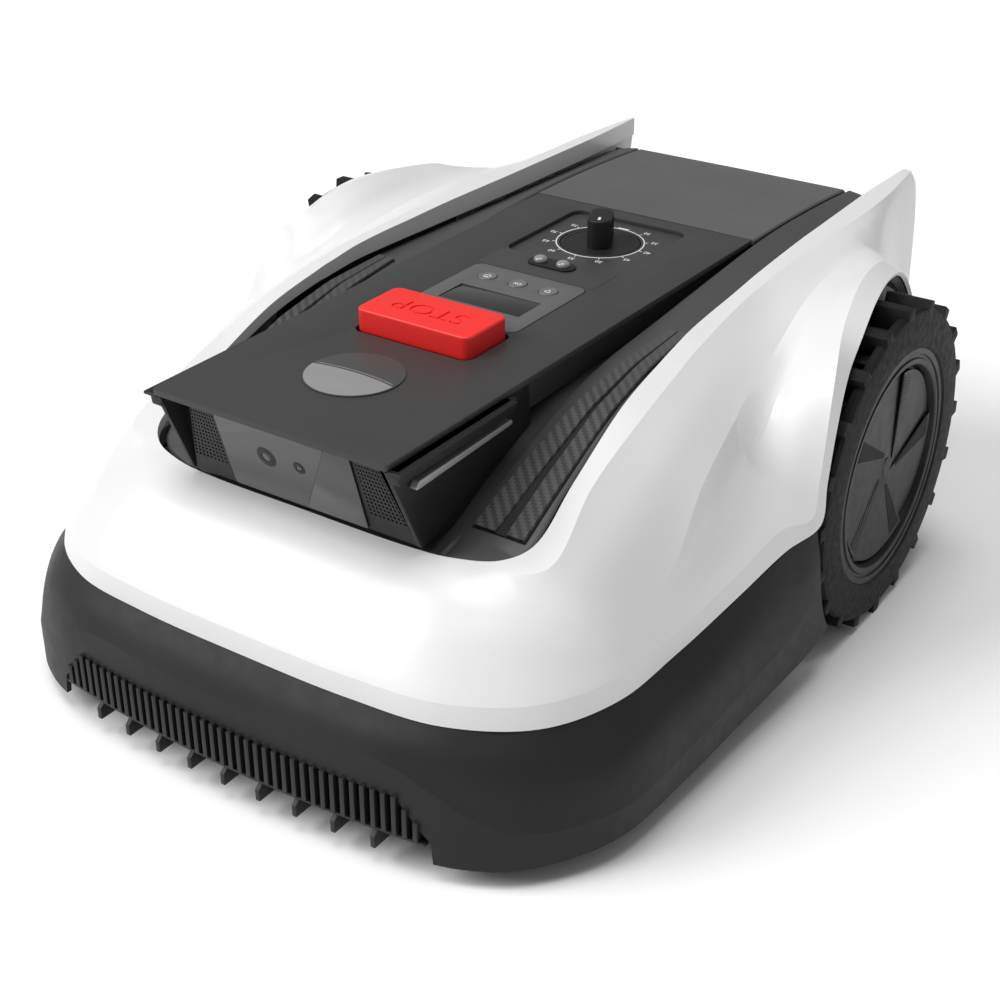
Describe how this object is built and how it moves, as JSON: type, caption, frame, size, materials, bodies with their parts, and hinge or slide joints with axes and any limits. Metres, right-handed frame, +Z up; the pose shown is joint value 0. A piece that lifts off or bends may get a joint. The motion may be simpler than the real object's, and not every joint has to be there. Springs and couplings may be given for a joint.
{
  "type": "robotic lawn mower",
  "caption": "Low battery robotic lawn mower with a finned shell, sprung bumper with grass comb, large lugged rear wheels, swivel casters and a height-adjusted blade disc.",
  "frame": {"origin": "centre of the footprint, on the ground the wheels stand on", "axes": "+Z up, -Y towards the front bumper, +X towards the mower's left side"},
  "size_m": [0.4488, 0.635, 0.228],
  "materials": {
    "white_shell": "satin white moulding",
    "charcoal_plastic": "fine textured",
    "deck_plastic": "fine textured, soft sheen",
    "black_plastic": "satin black",
    "window_plastic": "polished smoked window",
    "lens_glass": "coated lens",
    "carbon_weave": "woven twill under clear lacquer",
    "trim_silver": "satin silver",
    "stop_red": "satin red",
    "panel_grey": "satin",
    "button_grey": "satin",
    "led_lens": "frosted",
    "tyre_rubber": "ribbed rubber",
    "steel": "ground",
    "motor_metal": "cast and machined",
    "circuit_board": "solder mask",
    "battery_wrap": "satin wrap"
  },
  "bodies": {
    "body": {"chassis_tray": "black_plastic", "upper_shell": "white_shell", "top_deck": "deck_plastic", "console_board": "deck_plastic", "rear_deck_cover": "deck_plastic", "rear_panel": "charcoal_plastic", "visor_housing": "black_plastic", "camera_window": "window_plastic", "camera_lens": "lens_glass", "light_sensor": "lens_glass", "control_panel": "panel_grey", "display_window": "window_plastic", "led_bezel": "black_plastic", "dial_plate": "black_plastic", "emblem_disc": "trim_silver", "battery_pack": "battery_wrap", "main_board": "circuit_board", "battery_cover": "black_plastic", "speaker_grille_left": "black_plastic", "speaker_grille_right": "black_plastic", "side_trim_left": "trim_silver", "side_trim_right": "trim_silver", "carbon_insert_left": "carbon_weave", "carbon_insert_right": "carbon_weave", "status_led_left": "led_lens", "status_led_right": "led_lens", "wheel_arch_liner_left": "black_plastic", "wheel_arch_liner_right": "black_plastic", "drive_gearmotor_left": "motor_metal", "drive_gearmotor_right": "motor_metal", "charging_contact_left": "steel", "charging_contact_right": "steel"},
    "bumper": {"bumper_skirt": "charcoal_plastic", "front_grille": "black_plastic", "front_comb": "black_plastic"},
    "stop_button": {"stop_button": "stop_red"},
    "home_button": {"home_button": "button_grey"},
    "ok_button": {"ok_button": "button_grey"},
    "start_button": {"start_button": "button_grey"},
    "height_knob": {"height_knob": "black_plastic", "height_spindle": "steel"},
    "cutting_unit": {"cutter_housing": "black_plastic"},
    "blade_disc": {"blade_disc": "black_plastic"},
    "blade_1": {"blade_1": "steel"},
    "blade_2": {"blade_2": "steel"},
    "blade_3": {"blade_3": "steel"},
    "wheel_left": {"tyre_left": "tyre_rubber", "rim_left": "black_plastic", "hub_cover_left": "charcoal_plastic", "drive_axle_left": "steel"},
    "caster_left": {"caster_fork_left": "charcoal_plastic", "caster_axle_left": "steel"},
    "caster_wheel_left": {"caster_wheel_left": "tyre_rubber"},
    "wheel_right": {"tyre_right": "tyre_rubber", "rim_right": "black_plastic", "hub_cover_right": "charcoal_plastic", "drive_axle_right": "steel"},
    "caster_right": {"caster_fork_right": "charcoal_plastic", "caster_axle_right": "steel"},
    "caster_wheel_right": {"caster_wheel_right": "tyre_rubber"}
  },
  "joints": [
    {"name": "bumper_press", "type": "slide", "parent": "body", "child": "bumper", "axis": [0, 1, 0], "range_m": [0, 0.005], "stiffness_N_per_m": 1200},
    {"name": "stop_press", "type": "slide", "parent": "body", "child": "stop_button", "axis": [0, 0, -1], "range_m": [0, 0.004], "stiffness_N_per_m": 800, "springref_m": -0.0015},
    {"name": "home_press", "type": "slide", "parent": "body", "child": "home_button", "axis": [0, 0, -1], "range_m": [0, 0.0008], "stiffness_N_per_m": 600, "springref_m": -0.0004},
    {"name": "ok_press", "type": "slide", "parent": "body", "child": "ok_button", "axis": [0, 0, -1], "range_m": [0, 0.0008], "stiffness_N_per_m": 600, "springref_m": -0.0004},
    {"name": "start_press", "type": "slide", "parent": "body", "child": "start_button", "axis": [0, 0, -1], "range_m": [0, 0.0008], "stiffness_N_per_m": 600, "springref_m": -0.0004},
    {"name": "height_turn", "type": "hinge", "parent": "body", "child": "height_knob", "pos_m": [0, 0.0722, 0.209], "axis": [0, 0, 1], "range_deg": [-144, 126]},
    {"name": "cutter_lift", "type": "slide", "parent": "body", "child": "cutting_unit", "axis": [0, 0, 1], "range_m": [-0.021, 0.024]},
    {"name": "blade_spin", "type": "hinge", "parent": "cutting_unit", "child": "blade_disc", "pos_m": [0, -0.0425, 0.05], "axis": [0, 0, 1], "continuous": true},
    {"name": "blade_1_pivot", "type": "hinge", "parent": "blade_disc", "child": "blade_1", "pos_m": [0, -0.1145, 0.047], "axis": [0, 0, 1], "continuous": true},
    {"name": "blade_2_pivot", "type": "hinge", "parent": "blade_disc", "child": "blade_2", "pos_m": [0.06235, -0.0065, 0.047], "axis": [0, 0, 1], "continuous": true},
    {"name": "blade_3_pivot", "type": "hinge", "parent": "blade_disc", "child": "blade_3", "pos_m": [-0.06235, -0.0065, 0.047], "axis": [0, 0, 1], "continuous": true},
    {"name": "wheel_left_spin", "type": "hinge", "parent": "body", "child": "wheel_left", "pos_m": [0.2, 0.0705, 0.1065], "axis": [1, 0, 0], "continuous": true},
    {"name": "caster_left_swivel", "type": "hinge", "parent": "body", "child": "caster_left", "pos_m": [0.112, -0.2075, 0.09], "axis": [0, 0, 1], "continuous": true},
    {"name": "caster_left_roll", "type": "hinge", "parent": "caster_left", "child": "caster_wheel_left", "pos_m": [0.112, -0.1855, 0.036], "axis": [1, 0, 0], "continuous": true},
    {"name": "wheel_right_spin", "type": "hinge", "parent": "body", "child": "wheel_right", "pos_m": [-0.2, 0.0705, 0.1065], "axis": [1, 0, 0], "continuous": true},
    {"name": "caster_right_swivel", "type": "hinge", "parent": "body", "child": "caster_right", "pos_m": [-0.112, -0.2075, 0.09], "axis": [0, 0, 1], "continuous": true},
    {"name": "caster_right_roll", "type": "hinge", "parent": "caster_right", "child": "caster_wheel_right", "pos_m": [-0.112, -0.1855, 0.036], "axis": [1, 0, 0], "continuous": true}
  ],
  "couplings": [
    {"joint": "height_turn", "follows": "cutter_lift", "rad_per_m": -104.7}
  ]
}
